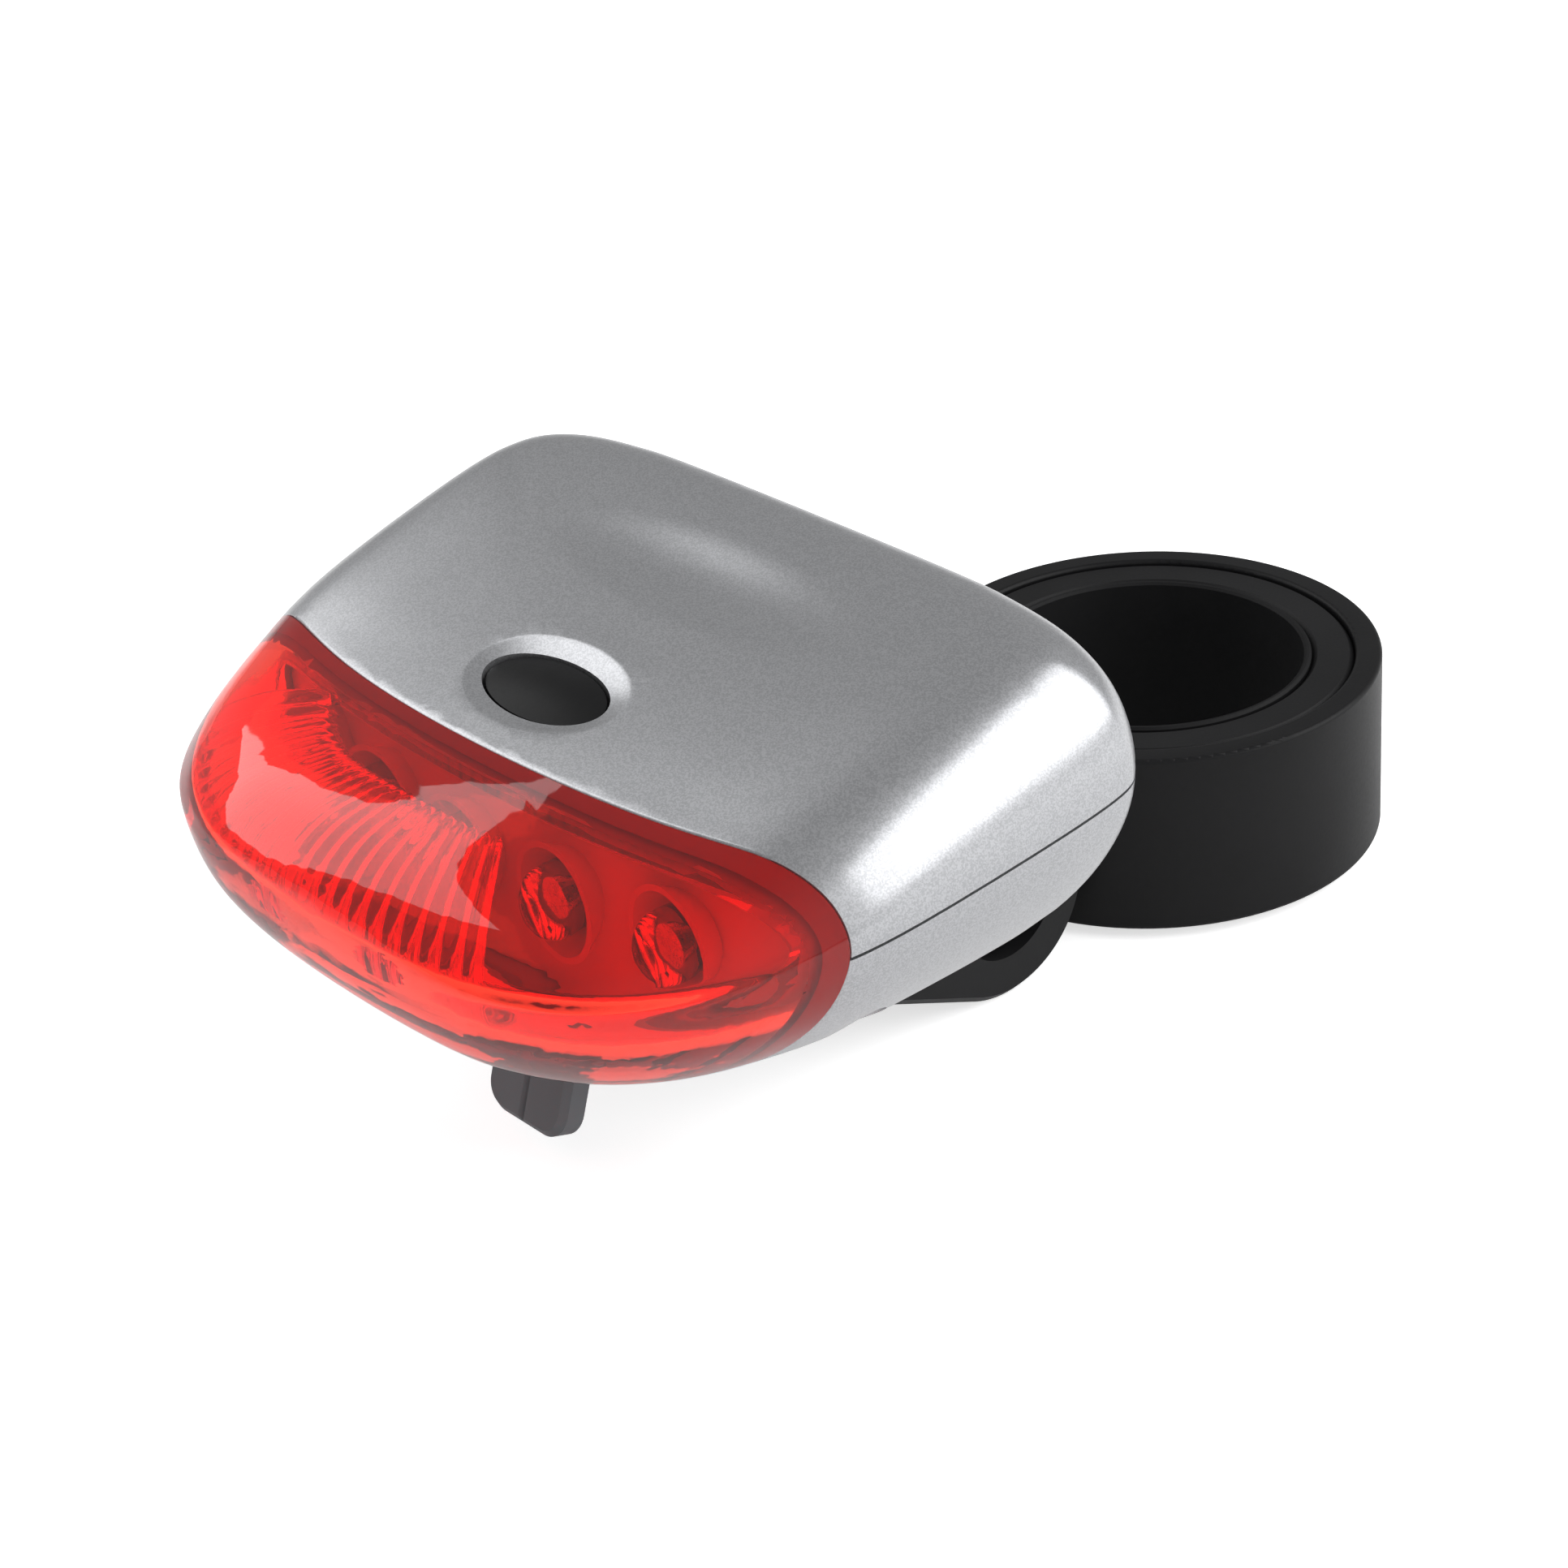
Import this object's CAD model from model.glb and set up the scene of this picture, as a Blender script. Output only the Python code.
import math

import bmesh
import bpy
from mathutils import Matrix, Quaternion, Vector


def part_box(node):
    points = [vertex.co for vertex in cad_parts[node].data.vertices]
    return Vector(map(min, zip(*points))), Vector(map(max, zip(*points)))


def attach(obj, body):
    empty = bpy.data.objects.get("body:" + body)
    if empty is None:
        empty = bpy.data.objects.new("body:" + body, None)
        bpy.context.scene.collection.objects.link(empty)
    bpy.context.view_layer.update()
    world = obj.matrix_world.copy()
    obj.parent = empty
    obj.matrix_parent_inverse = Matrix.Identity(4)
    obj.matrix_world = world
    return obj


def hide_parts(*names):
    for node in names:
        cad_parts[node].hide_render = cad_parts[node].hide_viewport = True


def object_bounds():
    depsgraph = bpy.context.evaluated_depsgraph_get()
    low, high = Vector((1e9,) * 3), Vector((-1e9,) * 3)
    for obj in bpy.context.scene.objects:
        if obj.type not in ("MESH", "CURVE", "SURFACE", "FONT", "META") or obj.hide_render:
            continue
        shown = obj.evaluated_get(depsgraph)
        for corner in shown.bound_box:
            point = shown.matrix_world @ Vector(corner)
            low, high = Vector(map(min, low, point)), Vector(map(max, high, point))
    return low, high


bl_info = {
    "name": "Bicycle rear light dressing",
    "version": (1, 0, 0),
    "blender": (4, 5, 0),
    "location": "3D View > Sidebar > Rear light",
    "description": "Dresses the packed rear light with its finishes, lens ribs, lamps and a studio",
    "category": "Object",
}

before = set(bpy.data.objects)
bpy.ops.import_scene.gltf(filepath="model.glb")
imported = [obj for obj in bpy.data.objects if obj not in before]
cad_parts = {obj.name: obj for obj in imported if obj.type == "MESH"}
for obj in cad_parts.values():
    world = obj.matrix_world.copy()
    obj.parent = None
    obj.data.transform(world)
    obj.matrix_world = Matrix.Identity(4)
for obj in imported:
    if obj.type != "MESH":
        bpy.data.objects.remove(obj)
CAD_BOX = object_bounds()
MM = 0.001
CREASE = math.radians(32)  # Edges that bend by more are drawn sharp
MERGE = 0.002 * MM  # Corners nearer than this are one

# The pod's form, in millimetres
HALF_WIDTH = 36.2
OUTLINE_POWER = 3
LOFT_Y, LOFT_REACH = -65.0, 22.2  # Where its rings are drawn in to, and how far the nose lies before it
NOSE_Y, NOSE_REACH = -46.0, 41.2  # Where the curved nose starts, and how far forwards it runs
SEAM_Y, SEAM_Z, SEAM_SLOPE = -57.0, 21.9, 0.0987  # A place on the sloping seam, and its rise
FLOOR_Z = 8.54
SHOULDER_UP, SHOULDER_DOWN = (8.7, 2.17), (13.1, 1.7)  # How far inwards it reaches, and its power
FLAT_SHARE = 0.45  # How much a ring is drawn in for each radian past a quarter turn
CROWN_Z, CROWN_SLOPE, CROWN_CURVE = 29.8, 0.227, 960  # Height, rise and bend along the top
CROWN_FALL, CROWN_FADE = 2.13, 18.8  # Fall to the sides, and the run in which it fades
SCOOP_Y, SCOOP_HALF_X, SCOOP_HALF_Y = -48.8, 18.6, 5.5
SCOOP_SEARCH = 1.5  # The solid's scoop lies within this under the top

# The leaning drum whose face is the lens's edge, in millimetres
EDGE_RADIUS, EDGE_Y, EDGE_Z, EDGE_LEAN = 97.5, 25.5, 20.0, 0.1
EDGE_NEAR = 0.04  # Faces within this before the edge belong to the rim
LENS_GAP = 0.12  # From the edge back to the shells

# How an edge of a shell is known to run along its outer rim beside the lens
RIM_ANGLE = 1.0  # Least bend in radians
RIM_NEAR = 0.03  # Distance from the gap's far side in millimetres
RIM_FACING = -0.7  # The skin beside it faces less far forwards than this
RIM_OUTWARDS = 0.002  # The skin's normal points this far away from the pod's middle, in metres
POD_MIDDLE_Z = 20.0

# The lens's ribs, in millimetres across the waist and degrees of turn up and down
RIBS_LEFT, RIBS_RIGHT = -30.5, 17.5
RIBS_LOW, RIBS_HIGH = -80, 112
RIB_COLUMNS, RIB_ROWS = 10, 48  # Columns of faces for each rib, and rows for all
RIBS_FADE = 1.5  # Width over which they run out at the sides
SCALLOP_FROM, SCALLOP_REACH = 0.8, 0.6  # Where the scalloped end starts, and a hollow's share of it
RIB_HOLLOW, RIB_BACK = 2.35, 2.05  # Depths of the hollows and of the back under the lens's skin

# The lamps and the bright cups round their chips, in millimetres
LAMP_COUNT, LAMP_HALF, LAMP_Z = 5, 2.9, 19.0
CUP_LEAD, CUP_DEPTH, CUP_NARROWING = 0.7, 1.3, 0.55

# The bolt's socket and the screws' cross recesses, in millimetres
SOCKET_SINK, SOCKET_DEPTH = 0.2, 0.45
SCREW_HEAD_RADIUS = 2.2
CROSS_BAR_WIDTH, CROSS_BAR_DEPTH, CROSS_BAR_SINK = 0.5, 0.1, 0.02

# Typical refractive indices, and how little the mouldings' etched skins shine
POLYCARBONATE_IOR, NYLON_IOR, SILICONE_IOR, LAMINATE_IOR = 1.586, 1.53, 1.52, 1.5
NYLON_SHINE, RUBBER_SHINE = 0.14, 0.15

# The studio, in metres and degrees
RIGHT_BOX_PLACE_AIM, RIGHT_BOX_SIZE = ((0.31, 0.22, 0.29), (0.0, -0.045, 0.012)), (0.60, 0.50)
LEFT_BOX_PLACE_AIM, LEFT_BOX_SIZE = ((-0.277, -0.108, 0.2255), (-0.068, 0.235, 0.022)), (0.36, 0.295)
LEFT_BOX_ROLL = -22.6
WORLD_LEFT, WORLD_RIGHT = 0.62, 1.3  # Shares of the world's level from each side
FLOOR_HALF = 3.0
FLOOR_GLOW, FLOOR_MIRRORED = 0.64, 0.2  # Its own light, and the share of it that mirrored rays see

# The camera: degrees round, up and rolled, its lens, and millimetres along its own axes
CAMERA_TURN_LIFT_ROLL = (50.62, 28.69, -4.38)
CAMERA_LENS = 83.85
CAMERA_RIGHT_UP_BACK = (-32.16, -4.58, 322.27)


def linear(code):
    """Linear RGBA of an sRGB hex colour."""
    parts = [int(code[i : i + 2], 16) / 255 for i in (1, 3, 5)]
    return tuple(c / 12.92 if c <= 0.04045 else ((c + 0.055) / 1.055) ** 2.4 for c in parts) + (1.0,)


def per_mm(size):
    """Texture scale that gives a feature of this size in millimetres."""
    return 1 / (size * MM)


def add(tree, kind, settings=None, **links):
    """One node with its settings, and its inputs by name or, as i0, i1 and so on, by number."""
    node = tree.nodes.new(kind)
    for key, value in (settings or {}).items():
        setattr(node, key, value)
    for key, value in links.items():
        by_number = key[0] == "i" and key[1:].isdigit()
        socket = node.inputs[int(key[1:]) if by_number else key.replace("_", " ")]
        if isinstance(value, bpy.types.NodeSocket):
            tree.links.new(value, socket)
        else:
            socket.default_value = value
    return node


def new_material(name):
    """An empty node material and its output."""
    material = bpy.data.materials.new(name)
    material.use_nodes = True
    tree = material.node_tree
    tree.nodes.clear()
    return material, tree, tree.nodes.new("ShaderNodeOutputMaterial")


def close(tree, out, shader):
    """Join a shader to the output."""
    tree.links.new(shader.outputs[0], out.inputs["Surface"])


def two_tone(ramp, dark, light):
    """The colour of a ramp that runs from one sRGB hex colour to another."""
    for stop, position, code in zip(ramp.color_ramp.elements, (0.3, 0.7), (dark, light)):
        stop.position = position
        stop.color = linear(code)
    return ramp.outputs["Color"]


# Silver lacquer sprayed on moulded ABS: flakes lie flat under a thin clear coat and glint one by one
def silver_lacquer(look):
    material, tree, out = new_material("silver_lacquer_on_abs")
    place = add(tree, "ShaderNodeTexCoord").outputs["Object"]
    # The real flakes are near 0.03 mm, drawn coarser so that they show
    flake = add(tree, "ShaderNodeTexVoronoi", Vector=place, Scale=per_mm(look.flake_size))
    glint = add(tree, "ShaderNodeSeparateColor", Color=flake.outputs["Color"])
    ramp = add(tree, "ShaderNodeValToRGB", Fac=glint.outputs[0])
    spray = add(tree, "ShaderNodeTexNoise", Vector=place, Scale=per_mm(0.9), Detail=3.0)
    rough = add(
        tree,
        "ShaderNodeMapRange",
        Value=spray.outputs["Fac"],
        To_Min=look.silver_roughness - 0.04,
        To_Max=look.silver_roughness + 0.04,
    )
    bump = add(tree, "ShaderNodeBump", Strength=0.10, Distance=0.02 * MM, Height=glint.outputs[1])
    shader = add(
        tree,
        "ShaderNodeBsdfPrincipled",
        Base_Color=two_tone(ramp, look.silver_dark, look.silver),
        Metallic=0.82,
        Roughness=rough.outputs[0],
        Coat_Weight=0.25,
        Coat_Roughness=0.18,
        Normal=bump.outputs["Normal"],
    )
    close(tree, out, shader)
    return material


# Polycarbonate moulded in a polished tool: clear, deep red, with faint flow waves
def red_polycarbonate(colour, name):
    material, tree, out = new_material(name)
    place = add(tree, "ShaderNodeTexCoord").outputs["Object"]
    flow = add(tree, "ShaderNodeTexNoise", Vector=place, Scale=per_mm(9.0), Detail=1.0)
    bump = add(tree, "ShaderNodeBump", Strength=0.05, Distance=0.2 * MM, Height=flow.outputs["Fac"])
    shader = add(
        tree,
        "ShaderNodeBsdfPrincipled",
        Base_Color=linear(colour),
        Roughness=0.02,
        IOR=POLYCARBONATE_IOR,
        Transmission_Weight=1.0,
        Normal=bump.outputs["Normal"],
    )
    close(tree, out, shader)
    return material


# The lens's rim isn't polished: its etched face scatters light and looks a dull dark red
def matt_polycarbonate(colour):
    material, tree, out = new_material("red_polycarbonate_etched_rim")
    place = add(tree, "ShaderNodeTexCoord").outputs["Object"]
    etch = add(tree, "ShaderNodeTexNoise", Vector=place, Scale=per_mm(0.3), Detail=3.0)
    bump = add(tree, "ShaderNodeBump", Strength=0.2, Distance=0.03 * MM, Height=etch.outputs["Fac"])
    shader = add(
        tree,
        "ShaderNodeBsdfPrincipled",
        Base_Color=linear(colour),
        Roughness=0.45,
        IOR=POLYCARBONATE_IOR,
        Normal=bump.outputs["Normal"],
    )
    close(tree, out, shader)
    return material


# Moulded nylon or ABS: the tool's finish gives the gloss, and a fine etched skin breaks it up
def moulded_plastic(name, dark, light, rough, size):
    material, tree, out = new_material(name)
    place = add(tree, "ShaderNodeTexCoord").outputs["Object"]
    skin = add(tree, "ShaderNodeTexNoise", Vector=place, Scale=per_mm(size), Detail=4.0, Roughness=0.6)
    cloud = add(tree, "ShaderNodeTexNoise", Vector=place, Scale=per_mm(14.0), Detail=2.0)
    ramp = add(tree, "ShaderNodeValToRGB", Fac=cloud.outputs["Fac"])
    gloss = {"To_Min": rough - 0.06, "To_Max": rough + 0.06}
    bump = add(tree, "ShaderNodeBump", Strength=0.18, Distance=0.03 * MM, Height=skin.outputs["Fac"])
    shader = add(
        tree,
        "ShaderNodeBsdfPrincipled",
        Base_Color=two_tone(ramp, dark, light),
        Roughness=add(tree, "ShaderNodeMapRange", Value=skin.outputs["Fac"], **gloss).outputs[0],
        IOR=NYLON_IOR,
        Specular_IOR_Level=NYLON_SHINE,
        Normal=bump.outputs["Normal"],
    )
    close(tree, out, shader)
    return material


# Moulded rubber: dull, soft edged highlights and a trace of bloom
def moulded_rubber(name, dark, light, rough):
    material, tree, out = new_material(name)
    place = add(tree, "ShaderNodeTexCoord").outputs["Object"]
    bloom = add(tree, "ShaderNodeTexNoise", Vector=place, Scale=per_mm(3.0), Detail=4.0, Roughness=0.6)
    pores = add(tree, "ShaderNodeTexNoise", Vector=place, Scale=per_mm(0.25), Detail=2.0)
    ramp = add(tree, "ShaderNodeValToRGB", Fac=bloom.outputs["Fac"])
    gloss = {"To_Min": rough - 0.05, "To_Max": rough + 0.05}
    bump = add(tree, "ShaderNodeBump", Strength=0.15, Distance=0.02 * MM, Height=pores.outputs["Fac"])
    shader = add(
        tree,
        "ShaderNodeBsdfPrincipled",
        Base_Color=two_tone(ramp, dark, light),
        Roughness=add(tree, "ShaderNodeMapRange", Value=pores.outputs["Fac"], **gloss).outputs[0],
        IOR=SILICONE_IOR,
        Specular_IOR_Level=RUBBER_SHINE,
        Normal=bump.outputs["Normal"],
    )
    close(tree, out, shader)
    return material


# Plated or bare metal with fine turning or drawing marks
def worked_metal(name, dark, light, rough, size):
    material, tree, out = new_material(name)
    place = add(tree, "ShaderNodeTexCoord").outputs["Object"]
    marks = add(tree, "ShaderNodeTexNoise", Vector=place, Scale=per_mm(size), Detail=3.0, Roughness=0.6)
    ramp = add(tree, "ShaderNodeValToRGB", Fac=marks.outputs["Fac"])
    gloss = {"To_Min": rough - 0.06, "To_Max": rough + 0.06}
    bump = add(tree, "ShaderNodeBump", Strength=0.1, Distance=0.01 * MM, Height=marks.outputs["Fac"])
    shader = add(
        tree,
        "ShaderNodeBsdfPrincipled",
        Base_Color=two_tone(ramp, dark, light),
        Metallic=1.0,
        Roughness=add(tree, "ShaderNodeMapRange", Value=marks.outputs["Fac"], **gloss).outputs[0],
        Normal=bump.outputs["Normal"],
    )
    close(tree, out, shader)
    return material


# Epoxy laminate under solder mask: glossy green with the weave just showing
def board_laminate():
    material, tree, out = new_material("glass_epoxy_board_green_mask")
    place = add(tree, "ShaderNodeTexCoord").outputs["Object"]
    weave = add(
        tree,
        "ShaderNodeTexBrick",
        Vector=place,
        Scale=per_mm(1.6),
        Mortar_Size=0.06,
        Color1=linear("#1d5a34"),
        Color2=linear("#174c2b"),
        Mortar=linear("#2b7546"),
    )
    shader = add(
        tree,
        "ShaderNodeBsdfPrincipled",
        Base_Color=weave.outputs["Color"],
        Roughness=0.28,
        IOR=LAMINATE_IOR,
    )
    close(tree, out, shader)
    return material


# Printed plastic sleeve shrunk on a cell: bare, semi gloss
def cell_sleeve():
    material, tree, out = new_material("shrunk_pvc_cell_sleeve")
    place = add(tree, "ShaderNodeTexCoord").outputs["Object"]
    mottle = add(tree, "ShaderNodeTexNoise", Vector=place, Scale=per_mm(5.0), Detail=2.0)
    ramp = add(tree, "ShaderNodeValToRGB", Fac=mottle.outputs["Fac"])
    shader = add(
        tree,
        "ShaderNodeBsdfPrincipled",
        Base_Color=two_tone(ramp, "#4a4d52", "#5a5e64"),
        Metallic=0.3,
        Roughness=0.33,
    )
    close(tree, out, shader)
    return material


def smooth_copy(node, name, body, material, ease_front=0.0):
    """A merged copy of a CAD node with smooth faces and sharp creases, which stands for the node.

    Where ease_front is given, the rim beside the lens is rounded by it.
    """
    bm = bmesh.new()
    bm.from_mesh(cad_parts[node].data)
    bmesh.ops.remove_doubles(bm, verts=bm.verts, dist=MERGE)
    if ease_front:
        bmesh.ops.bevel(
            bm,
            geom=[edge for edge in bm.edges if on_front_rim(edge)],
            offset=ease_front,
            segments=3,
            profile=0.5,
            affect="EDGES",
            material=-1,
            clamp_overlap=True,
        )
    for face in bm.faces:
        face.smooth = True
    for edge in bm.edges:
        edge.smooth = len(edge.link_faces) == 2 and edge.calc_face_angle(0) < CREASE
    piece = new_piece(bm, name, body, material)
    even = piece.modifiers.new("even_normals", "WEIGHTED_NORMAL")
    even.keep_sharp = True
    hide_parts(node)
    return piece


def new_piece(bm, name, body, material):
    """Turn a bmesh into a piece that rides on a body."""
    mesh = bpy.data.meshes.new(name)
    bm.to_mesh(mesh)
    bm.free()
    piece = bpy.data.objects.new(name, mesh)
    bpy.context.scene.collection.objects.link(piece)
    mesh.materials.append(material)
    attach(piece, body)
    return piece


def dress(material, *nodes):
    """Give CAD nodes that stay their finish."""
    for node in nodes:
        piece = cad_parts[node]
        piece.data.materials.clear()
        piece.data.materials.append(material)


def behind_edge(place):
    """How far a place lies behind the lens's curved edge, in millimetres."""
    x, y, z = (c / MM for c in place)
    ahead = (y - EDGE_Y - EDGE_LEAN * (z - EDGE_Z)) * math.cos(math.atan(EDGE_LEAN))
    return EDGE_RADIUS - math.hypot(x, ahead)


def on_front_rim(edge):
    """Whether an edge runs along a shell's outer rim beside the lens."""
    if len(edge.link_faces) != 2 or edge.calc_face_angle(0) < RIM_ANGLE:
        return False
    if any(abs(behind_edge(vert.co) - LENS_GAP) > RIM_NEAR for vert in edge.verts):
        return False
    middle = (edge.verts[0].co + edge.verts[1].co) / 2
    outwards = middle - Vector((0, middle.y, POD_MIDDLE_Z * MM))
    return any(
        face.normal.y > RIM_FACING and face.normal.dot(outwards) > RIM_OUTWARDS for face in edge.link_faces
    )


def top_height(x, y):
    """Height of the pod's crowned top, in millimetres."""
    run = y - LOFT_Y
    fall = CROWN_FALL * (x / HALF_WIDTH * (1 - run / CROWN_FADE)) ** 2
    return CROWN_Z + CROWN_SLOPE * run - run * run / CROWN_CURVE - fall


def pod_place(across, turn, wall):
    """A place on the pod's skin drawn in by a wall, from a place across its waist and a turn up or down.

    Past a quarter turn the place runs inwards over the flat top or bottom.
    """
    width, power = SHOULDER_UP if turn >= 0 else SHOULDER_DOWN
    inwards = max(0.0, abs(turn) - math.pi / 2)
    turn = max(-math.pi / 2, min(math.pi / 2, turn))
    round_off = width / HALF_WIDTH * (1 - max(0.0, math.cos(turn)) ** (2 / power))
    share = 1 - round_off - FLAT_SHARE * inwards
    rise = abs(math.sin(turn)) ** (2 / power)
    bow = (1 - (abs(across) / HALF_WIDTH) ** OUTLINE_POWER) ** (1 / OUTLINE_POWER)
    front = NOSE_Y - NOSE_REACH * bow
    x = across * share * (HALF_WIDTH - wall) / HALF_WIDTH
    y = LOFT_Y + (front - LOFT_Y) * share * (LOFT_REACH - wall) / LOFT_REACH
    seam = SEAM_Z + SEAM_SLOPE * (y - SEAM_Y)
    far = top_height(x, y) - wall if turn >= 0 else FLOOR_Z + wall
    return Vector((x, y, seam + (far - seam) * rise))


def shallow_scoop(mesh, depth):
    """Draw the thumb scoop in the top to a depth in metres, inside the outline that the solid gives it."""
    for vert in mesh.vertices:
        x, y, z = (c / MM for c in vert.co)
        reach = math.hypot(x / SCOOP_HALF_X, (y - SCOOP_Y) / SCOOP_HALF_Y)
        top = top_height(x, y)
        if reach < 1 and z > top - SCOOP_SEARCH:
            vert.co.z = top * MM - depth * (1 - reach * reach) ** 2


class RearLightLook(bpy.types.PropertyGroup):
    """Colours and finishes."""

    silver: bpy.props.StringProperty(
        name="Silver", description="Lighter flake colour of the housing", default="#c0c1c4"
    )
    silver_dark: bpy.props.StringProperty(
        name="Silver, dark flakes", description="Darker flake colour of the housing", default="#aeafb2"
    )
    silver_roughness: bpy.props.FloatProperty(
        name="Silver roughness",
        description="Roughness of the lacquer",
        default=0.30,
        min=0.0,
        max=1.0,
        subtype="FACTOR",
    )
    flake_size: bpy.props.FloatProperty(
        name="Flake size", description="Size of a drawn flake in millimetres", default=0.11, min=0.02, max=1.0
    )
    lens_red: bpy.props.StringProperty(
        name="Lens red", description="Colour of the lens's plastic", default="#ff3823"
    )
    rim_red: bpy.props.StringProperty(
        name="Rim red", description="Colour of the lens's etched rim", default="#c01812"
    )
    nylon: bpy.props.StringProperty(
        name="Black nylon", description="Colour of the clamp and arm", default="#19191a"
    )
    rubber: bpy.props.StringProperty(
        name="Rubber", description="Colour of the button and liner", default="#161617"
    )


class RearLightSizes(bpy.types.PropertyGroup):
    """Sizes of the pieces that are modelled here."""

    rim_round: bpy.props.FloatProperty(
        name="Rim round",
        description="Rounding of the shells' rim beside the lens",
        default=0.25 * MM,
        unit="LENGTH",
    )
    scoop_depth: bpy.props.FloatProperty(
        name="Scoop depth",
        description="Depth of the thumb scoop in the top",
        default=0.6 * MM,
        unit="LENGTH",
    )
    rib_pitch: bpy.props.FloatProperty(
        name="Rib pitch", description="Spacing of the lens's inner ribs", default=2.1 * MM, unit="LENGTH"
    )
    rib_depth: bpy.props.FloatProperty(
        name="Rib depth", description="Height of a rib above its hollows", default=0.55 * MM, unit="LENGTH"
    )
    socket_flats: bpy.props.FloatProperty(
        name="Socket",
        description="Width across the clamp bolt's hexagon socket",
        default=2.5 * MM,
        unit="LENGTH",
    )
    cross_width: bpy.props.FloatProperty(
        name="Cross recess",
        description="Width across a housing screw's recess",
        default=2.2 * MM,
        unit="LENGTH",
    )
    chip_width: bpy.props.FloatProperty(
        name="Lamp chip",
        description="Width of the chip's bright cup in each lamp",
        default=1.9 * MM,
        unit="LENGTH",
    )


class RearLightStage(bpy.types.PropertyGroup):
    """The studio round the object."""

    key_power: bpy.props.FloatProperty(
        name="Key", description="Power of the soft box on the right", default=2.4, min=0.0
    )
    fill_power: bpy.props.FloatProperty(
        name="Fill", description="Power of the soft box on the left", default=0.56, min=0.0
    )
    world_level: bpy.props.FloatProperty(
        name="World", description="Level of the world light", default=0.55, min=0.0
    )
    floor_drop: bpy.props.FloatProperty(
        name="Floor drop",
        description="Gap between the object and the floor",
        default=0.2 * MM,
        unit="LENGTH",
    )


def looks():
    """The colours and finishes in use."""
    return bpy.context.scene.rear_light_look


def sizes():
    """The sizes in use."""
    return bpy.context.scene.rear_light_sizes


class RearLightShells(bpy.types.Operator):
    """Upper and lower shells in silver lacquer"""

    bl_idname = "rear_light.shells"
    bl_label = "Housing shells"

    def execute(self, context):
        silver = silver_lacquer(looks())
        ease = sizes().rim_round
        upper = smooth_copy("upper_shell", "upper_shell_skin", "light", silver, ease)
        shallow_scoop(upper.data, sizes().scoop_depth)
        smooth_copy("lower_shell", "lower_shell_skin", "light", silver, ease)
        return {"FINISHED"}


class RearLightLens(bpy.types.Operator):
    """Red lens with its clear wall"""

    bl_idname = "rear_light.lens"
    bl_label = "Lens"

    def execute(self, context):
        clear = red_polycarbonate(looks().lens_red, "red_polycarbonate_polished")
        piece = smooth_copy("lens", "lens_clear_wall", "light", clear)
        piece.data.materials.append(matt_polycarbonate(looks().rim_red))
        for face in piece.data.polygons:
            if behind_edge(face.center) > -EDGE_NEAR:
                face.material_index = 1
        return {"FINISHED"}


class RearLightRibs(bpy.types.Operator):
    """Upright ribs inside the lens, which spread the lamps' light"""

    bl_idname = "rear_light.ribs"
    bl_label = "Lens ribs"

    def execute(self, context):
        pitch = sizes().rib_pitch / MM
        depth = sizes().rib_depth / MM
        width = RIBS_RIGHT - RIBS_LEFT
        low, high = math.radians(RIBS_LOW), math.radians(RIBS_HIGH)
        bm = bmesh.new()
        columns = int(width / pitch) * RIB_COLUMNS
        bmesh.ops.create_grid(bm, x_segments=columns, y_segments=RIB_ROWS, size=1.0)
        inner = bmesh.ops.extrude_face_region(bm, geom=bm.faces[:])["geom"]
        inner = {item for item in inner if isinstance(item, bmesh.types.BMVert)}
        for vert in bm.verts:
            across = RIBS_LEFT + (vert.co.x + 1) / 2 * width
            fade = min(across - RIBS_LEFT, RIBS_RIGHT - across, RIBS_FADE) / RIBS_FADE
            swell = abs(math.sin(math.pi * (across - RIBS_LEFT) / pitch))
            up = vert.co.y
            if up > SCALLOP_FROM:
                # The upper end is scalloped: each hollow between two ribs stops a little lower
                up = SCALLOP_FROM + (up - SCALLOP_FROM) * (SCALLOP_REACH + (1 - SCALLOP_REACH) * swell)
            turn = low + (up + 1) / 2 * (high - low)
            wall = RIB_HOLLOW + depth * swell * fade if vert in inner else RIB_BACK
            vert.co = pod_place(across, turn, wall) * MM
        bmesh.ops.recalc_face_normals(bm, faces=bm.faces)
        for face in bm.faces:
            face.smooth = True
        clear = red_polycarbonate(looks().lens_red, "red_polycarbonate_ribs")
        new_piece(bm, "lens_ribs", "light", clear)
        return {"FINISHED"}


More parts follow.
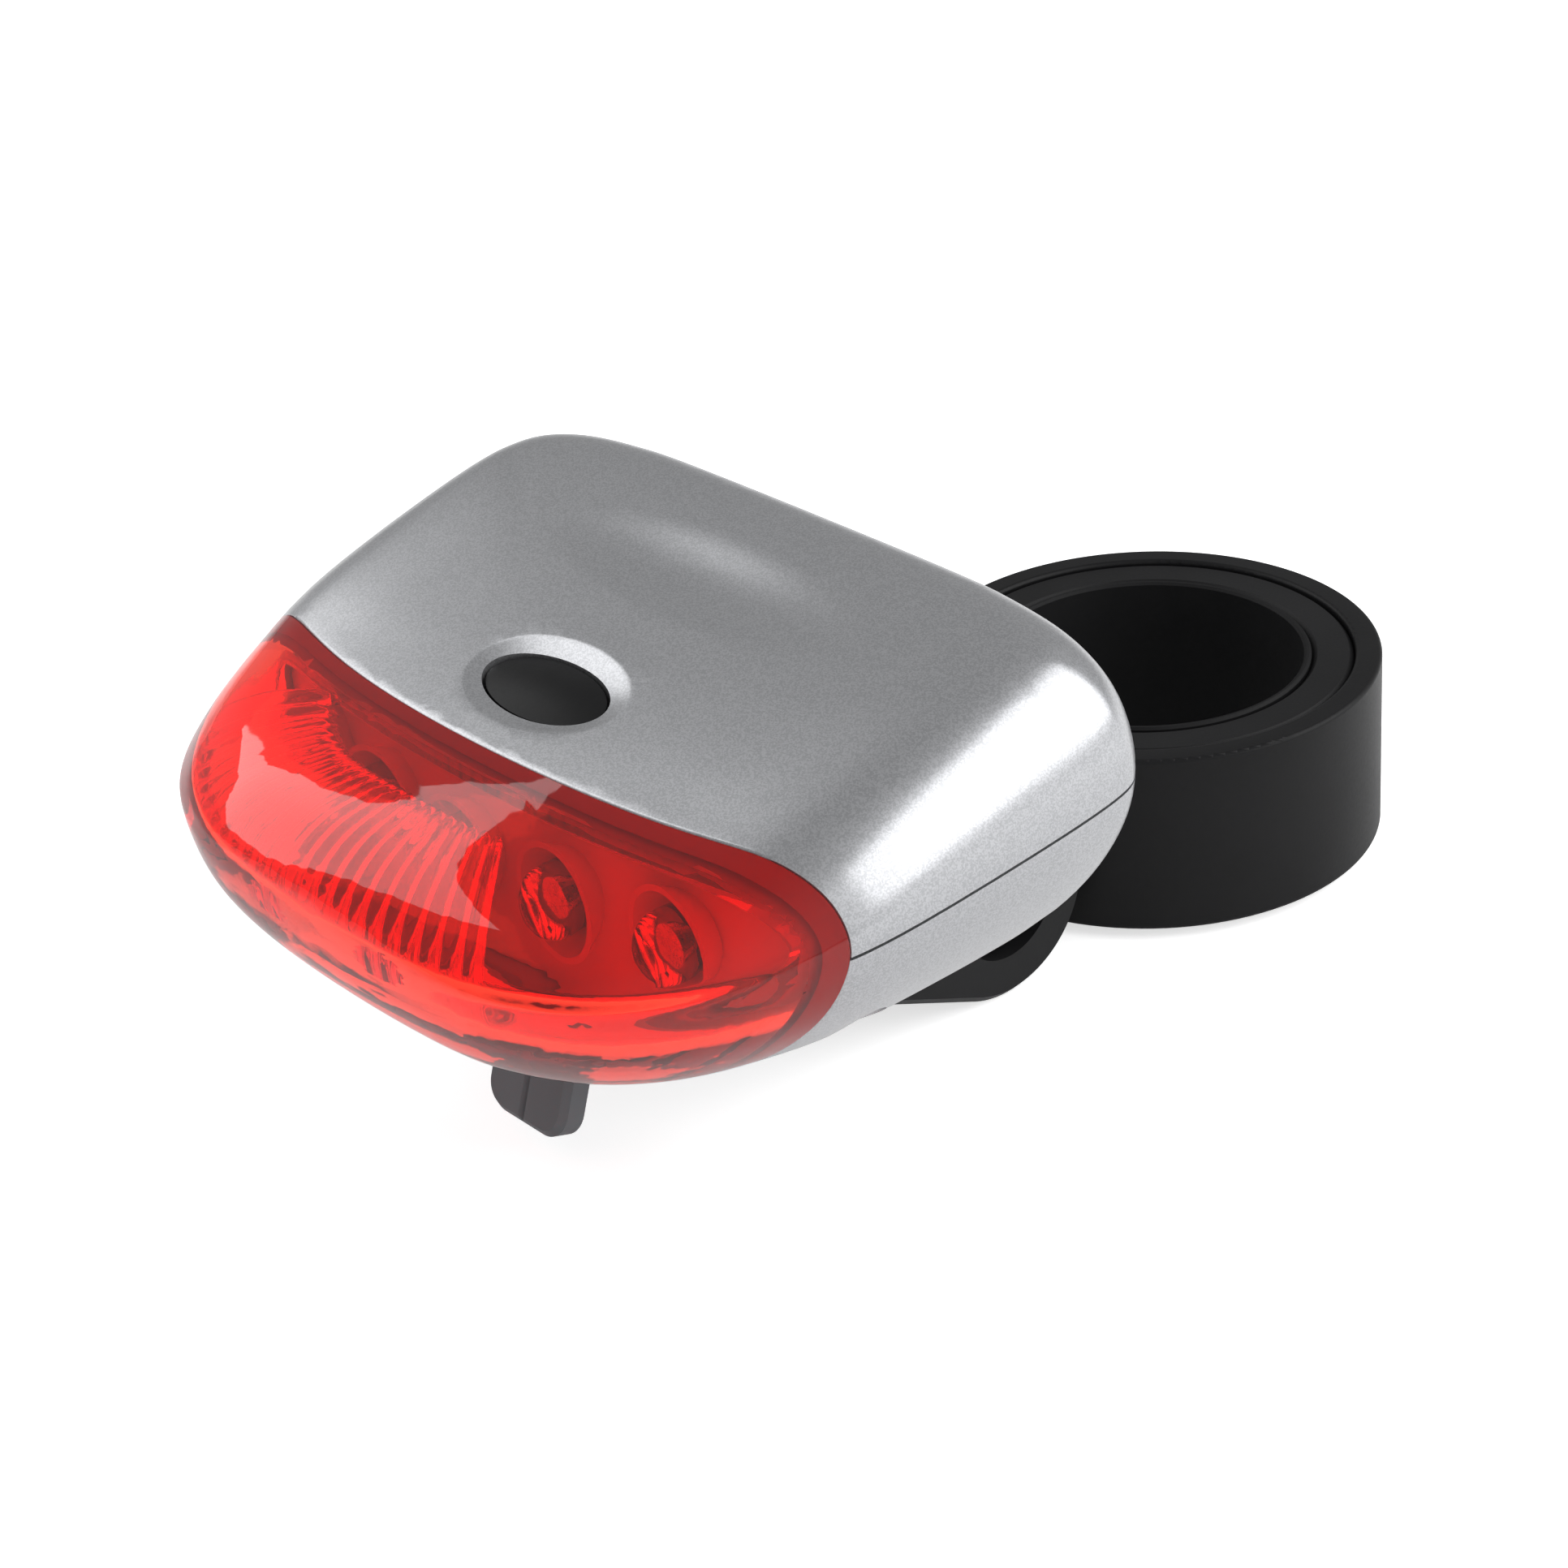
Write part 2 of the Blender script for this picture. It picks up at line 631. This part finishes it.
class RearLightLamps(bpy.types.Operator):
    """Lamps with their chips, the bright reflector and the dark holder"""

    bl_idname = "rear_light.lamps"
    bl_label = "Lamps and reflector"

    def execute(self, context):
        white = moulded_plastic("white_abs_gloss", "#e4e4e4", "#f2f2f2", 0.22, 0.6)
        epoxy = red_polycarbonate("#ffb0a0", "tinted_led_epoxy")
        steel = worked_metal("tinned_steel_lead", "#a9aaad", "#d0d1d4", 0.28, 0.3)
        smooth_copy("reflector", "reflector_bright", "light", white)
        smooth_copy("leds", "led_domes", "light", epoxy)
        dress(steel, "led_leads")
        dress(moulded_plastic("black_abs_lamp_holder", "#0f0f10", "#17171a", 0.5, 0.3), "led_holder")
        cup = sizes().chip_width / 2
        low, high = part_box("leds")
        first = low[0] + LAMP_HALF * MM
        pitch = (high[0] - LAMP_HALF * MM - first) / (LAMP_COUNT - 1)
        upright = Matrix.Rotation(math.radians(90), 4, "X")
        bm = bmesh.new()
        for i in range(LAMP_COUNT):
            x = first + pitch * i
            y = EDGE_Y - math.sqrt(EDGE_RADIUS ** 2 - (x / MM) ** 2) - CUP_LEAD
            bmesh.ops.create_cone(
                bm,
                cap_ends=True,
                segments=20,
                radius1=cup * CUP_NARROWING,
                radius2=cup,
                depth=CUP_DEPTH * MM,
                matrix=Matrix.Translation((x, y * MM, LAMP_Z * MM)) @ upright,
            )
        new_piece(bm, "led_chip_cups", "light", steel)
        return {"FINISHED"}


class RearLightButton(bpy.types.Operator):
    """Rubber push button"""

    bl_idname = "rear_light.button"
    bl_label = "Push button"

    def execute(self, context):
        rubber = moulded_rubber("black_silicone_button", "#111112", looks().rubber, 0.42)
        smooth_copy("push_button", "push_button_cap", "button", rubber)
        dress(moulded_plastic("black_pom_plunger", "#1c1c1e", "#232326", 0.35, 0.3), "switch_plunger")
        return {"FINISHED"}


class RearLightInside(bpy.types.Operator):
    """Circuit board, switch, cells and their contacts"""

    bl_idname = "rear_light.inside"
    bl_label = "Board and cells"

    def execute(self, context):
        spring = worked_metal("nickel_plated_spring_steel", "#b4b3ae", "#d6d5d0", 0.22, 0.4)
        black = moulded_plastic("black_abs_moulding", "#141415", "#1d1d1f", 0.45, 0.4)
        dress(board_laminate(), "circuit_board")
        dress(black, "switch_body", "driver_chip", "resistors", "battery_tray")
        dress(cell_sleeve(), "battery_cell_front", "battery_cell_rear")
        dress(spring, "battery_spring_front", "battery_spring_rear", "battery_bridge", "battery_terminals")
        dress(moulded_rubber("black_silicone_seal", "#18181a", "#202022", 0.6), "housing_seal")
        return {"FINISHED"}


class RearLightClamp(bpy.types.Operator):
    """Clamp band, inner sleeve and rubber liner"""

    bl_idname = "rear_light.clamp"
    bl_label = "Seat post clamp"

    def execute(self, context):
        look = looks()
        band = moulded_plastic("black_glass_filled_nylon", "#131314", look.nylon, 0.42, 0.35)
        sleeve = moulded_plastic("black_nylon_sleeve", "#161617", "#1d1d1e", 0.48, 0.3)
        liner = moulded_rubber("black_rubber_liner", "#131314", look.rubber, 0.6)
        smooth_copy("clamp_band", "clamp_band_skin", "clamp", band)
        smooth_copy("reducer_shim", "reducer_shim_skin", "clamp", sleeve)
        smooth_copy("rubber_liner", "rubber_liner_skin", "clamp", liner)
        dress(band, "tilt_washers")
        return {"FINISHED"}


class RearLightArm(bpy.types.Operator):
    """Tilting arm with its shoe, and the release tongue"""

    bl_idname = "rear_light.arm"
    bl_label = "Arm and tongue"

    def execute(self, context):
        nylon = moulded_plastic("black_glass_filled_nylon_arm", "#1e1e1f", looks().nylon, 0.42, 0.35)
        tongue = moulded_plastic("black_nylon_tongue", "#68696c", "#747578", 0.5, 0.3)
        smooth_copy("bracket_arm", "bracket_arm_skin", "bracket", nylon)
        smooth_copy("release_tongue", "release_tongue_skin", "tongue", tongue)
        return {"FINISHED"}


class RearLightFasteners(bpy.types.Operator):
    """Clamp bolt with its socket, nut, washer and the housing screws with cross recesses"""

    bl_idname = "rear_light.fasteners"
    bl_label = "Bolt, nut and screws"

    def execute(self, context):
        black = worked_metal("black_zinc_plated_steel", "#1d1d1f", "#2c2c2f", 0.32, 0.4)
        plated = worked_metal("zinc_plated_steel", "#a3a5aa", "#c3c5c9", 0.3, 0.4)
        pit = worked_metal("black_zinc_socket_floor", "#060606", "#0b0b0c", 0.6, 0.4)
        smooth_copy("clamp_bolt", "clamp_bolt_skin", "bolt", black)
        dress(black, "bolt_washer")
        dress(plated, "clamp_nut")
        smooth_copy("housing_screws", "housing_screws_skin", "light", plated)

        low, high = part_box("clamp_bolt")
        middle = (low + high) / 2
        place = Matrix.Translation((high[0] - SOCKET_SINK * MM, middle[1], middle[2]))
        radius = sizes().socket_flats / math.sqrt(3)
        bm = bmesh.new()
        bmesh.ops.create_cone(
            bm,
            cap_ends=True,
            segments=6,
            radius1=radius,
            radius2=radius,
            depth=SOCKET_DEPTH * MM,
            matrix=place @ Matrix.Rotation(math.radians(90), 4, "Y"),
        )
        new_piece(bm, "bolt_socket", "bolt", pit)

        low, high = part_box("housing_screws")
        head = SCREW_HEAD_RADIUS * MM
        bar_size = (sizes().cross_width, CROSS_BAR_WIDTH * MM, CROSS_BAR_DEPTH * MM)
        bm = bmesh.new()
        for x in (low[0] + head, high[0] - head):
            for y in (low[1] + head, high[1] - head):
                for turn in (0, 90):
                    place = Matrix.Translation((x, y, low[2] + CROSS_BAR_SINK * MM))
                    bar = bmesh.ops.create_cube(bm, size=1.0)["verts"]
                    bmesh.ops.scale(bm, vec=bar_size, verts=bar)
                    bmesh.ops.transform(
                        bm, matrix=place @ Matrix.Rotation(math.radians(turn), 4, "Z"), verts=bar
                    )
        new_piece(bm, "screw_cross_recesses", "light", pit)
        return {"FINISHED"}


def soft_box(name, place, aim, width, height, power, roll=0.0):
    """A rectangular soft box that points at a place, rolled about its axis by some degrees."""
    lamp = bpy.data.lights.new(name, "AREA")
    lamp.shape = "RECTANGLE"
    lamp.size = width
    lamp.size_y = height
    lamp.energy = power
    holder = bpy.data.objects.new(name, lamp)
    bpy.context.scene.collection.objects.link(holder)
    holder.location = place
    facing = (Vector(aim) - Vector(place)).to_track_quat("-Z", "Y")
    holder.rotation_euler = (facing @ Quaternion((0, 0, 1), math.radians(roll))).to_euler()


def seen_directly(tree, mirrored=0.0):
    """One for camera rays and rays through glass, a share for mirrored rays, and nought for the rest."""
    path = add(tree, "ShaderNodeLightPath")
    most = {"operation": "MAXIMUM"}
    camera, glass = path.outputs["Is Camera Ray"], path.outputs["Is Transmission Ray"]
    clear = add(tree, "ShaderNodeMath", most, i0=camera, i1=glass)
    times = {"operation": "MULTIPLY"}
    glossy = add(tree, "ShaderNodeMath", times, i0=path.outputs["Is Glossy Ray"], i1=mirrored)
    return add(tree, "ShaderNodeMath", most, i0=clear.outputs[0], i1=glossy.outputs[0]).outputs[0]


def studio_world(scene, level):
    """A world light that is brighter on the right, in front of a white background."""
    world = bpy.data.worlds.new("studio_world")
    scene.world = world
    world.use_nodes = True
    tree = world.node_tree
    tree.nodes.clear()
    place = add(tree, "ShaderNodeTexCoord")
    way = add(tree, "ShaderNodeSeparateXYZ", Vector=place.outputs["Generated"])
    ends = {"To_Min": level * WORLD_LEFT, "To_Max": level * WORLD_RIGHT}
    light = add(tree, "ShaderNodeMapRange", Value=way.outputs["X"], **ends).outputs[0]
    strength = add(tree, "ShaderNodeMix", Factor=seen_directly(tree), i2=light, i3=1.0).outputs[0]
    sky = add(tree, "ShaderNodeBackground", Color=linear("#ffffff"), Strength=strength)
    close(tree, tree.nodes.new("ShaderNodeOutputWorld"), sky)


def studio_floor(scene, height):
    """A white paper floor that looks white and keeps the object's shadow."""
    bm = bmesh.new()
    bmesh.ops.create_grid(bm, x_segments=1, y_segments=1, size=FLOOR_HALF)
    bmesh.ops.translate(bm, verts=bm.verts, vec=(0, 0, height))
    mesh = bpy.data.meshes.new("studio_floor")
    bm.to_mesh(mesh)
    bm.free()
    floor = bpy.data.objects.new("studio_floor", mesh)
    scene.collection.objects.link(floor)
    material, tree, out = new_material("white_studio_paper")
    paper = add(tree, "ShaderNodeBsdfDiffuse", Color=linear("#f4f4f4"))
    seen = seen_directly(tree, FLOOR_MIRRORED)
    level = add(tree, "ShaderNodeMath", {"operation": "MULTIPLY"}, i0=seen, i1=FLOOR_GLOW)
    glow = add(tree, "ShaderNodeEmission", Color=linear("#ffffff"), Strength=level.outputs[0])
    close(tree, out, add(tree, "ShaderNodeAddShader", i0=paper.outputs[0], i1=glow.outputs[0]))
    mesh.materials.append(material)


def photo_camera(scene):
    """The camera where the photograph was taken from."""
    turn, lift, roll = (math.radians(angle) for angle in CAMERA_TURN_LIFT_ROLL)
    back = Vector((math.sin(turn) * math.cos(lift), -math.cos(turn) * math.cos(lift), math.sin(lift)))
    flat_right = Vector((math.cos(turn), math.sin(turn), 0))
    flat_up = back.cross(flat_right)
    right = math.cos(roll) * flat_right + math.sin(roll) * flat_up
    up = math.cos(roll) * flat_up - math.sin(roll) * flat_right
    lens = bpy.data.cameras.new("photo_camera")
    lens.sensor_width = 36.0
    lens.lens = CAMERA_LENS
    lens.clip_start = 0.01
    camera = bpy.data.objects.new("photo_camera", lens)
    scene.collection.objects.link(camera)
    axes = Matrix((right, up, back)).transposed()
    place = axes @ Vector(CAMERA_RIGHT_UP_BACK) * MM
    camera.matrix_world = Matrix.Translation(place) @ axes.to_4x4()
    scene.camera = camera


class RearLightStudio(bpy.types.Operator):
    """Pale floor, soft boxes, world light and camera"""

    bl_idname = "rear_light.studio"
    bl_label = "Studio"

    def execute(self, context):
        scene = context.scene
        stage = scene.rear_light_stage
        scene.view_settings.view_transform = "Standard"
        # Enough bounces for light that runs through the lens's walls and the ribs
        scene.cycles.max_bounces = 24
        scene.cycles.glossy_bounces = 16
        scene.cycles.transmission_bounces = 24
        studio_world(scene, stage.world_level)
        studio_floor(scene, CAD_BOX[0][2] - stage.floor_drop)
        soft_box("soft_box_right", *RIGHT_BOX_PLACE_AIM, *RIGHT_BOX_SIZE, stage.key_power)
        soft_box("soft_box_left", *LEFT_BOX_PLACE_AIM, *LEFT_BOX_SIZE, stage.fill_power, LEFT_BOX_ROLL)
        photo_camera(scene)
        return {"FINISHED"}


class RearLightPanel(bpy.types.Panel):
    """Lists the steps that dress the rear light"""

    bl_label = "Rear light"
    bl_idname = "VIEW3D_PT_rear_light"
    bl_space_type = "VIEW_3D"
    bl_region_type = "UI"
    bl_category = "Rear light"

    def draw(self, context):
        scene = context.scene
        for step in STEPS:
            self.layout.operator(step.bl_idname)
        for group in (scene.rear_light_look, scene.rear_light_sizes, scene.rear_light_stage):
            for key in group.bl_rna.properties.keys():
                if key not in ("rna_type", "name"):
                    self.layout.prop(group, key)


STEPS = (
    RearLightShells,
    RearLightLens,
    RearLightRibs,
    RearLightLamps,
    RearLightButton,
    RearLightInside,
    RearLightClamp,
    RearLightArm,
    RearLightFasteners,
    RearLightStudio,
)
CLASSES = (RearLightLook, RearLightSizes, RearLightStage) + STEPS + (RearLightPanel,)


def register():
    for item in CLASSES:
        bpy.utils.register_class(item)
    bpy.types.Scene.rear_light_look = bpy.props.PointerProperty(type=RearLightLook)
    bpy.types.Scene.rear_light_sizes = bpy.props.PointerProperty(type=RearLightSizes)
    bpy.types.Scene.rear_light_stage = bpy.props.PointerProperty(type=RearLightStage)


def unregister():
    del bpy.types.Scene.rear_light_stage
    del bpy.types.Scene.rear_light_sizes
    del bpy.types.Scene.rear_light_look
    for item in reversed(CLASSES):
        bpy.utils.unregister_class(item)


def main():
    register()
    for step in STEPS:
        group, name = step.bl_idname.split(".")
        getattr(getattr(bpy.ops, group), name)()


if __name__ == "__main__":
    main()
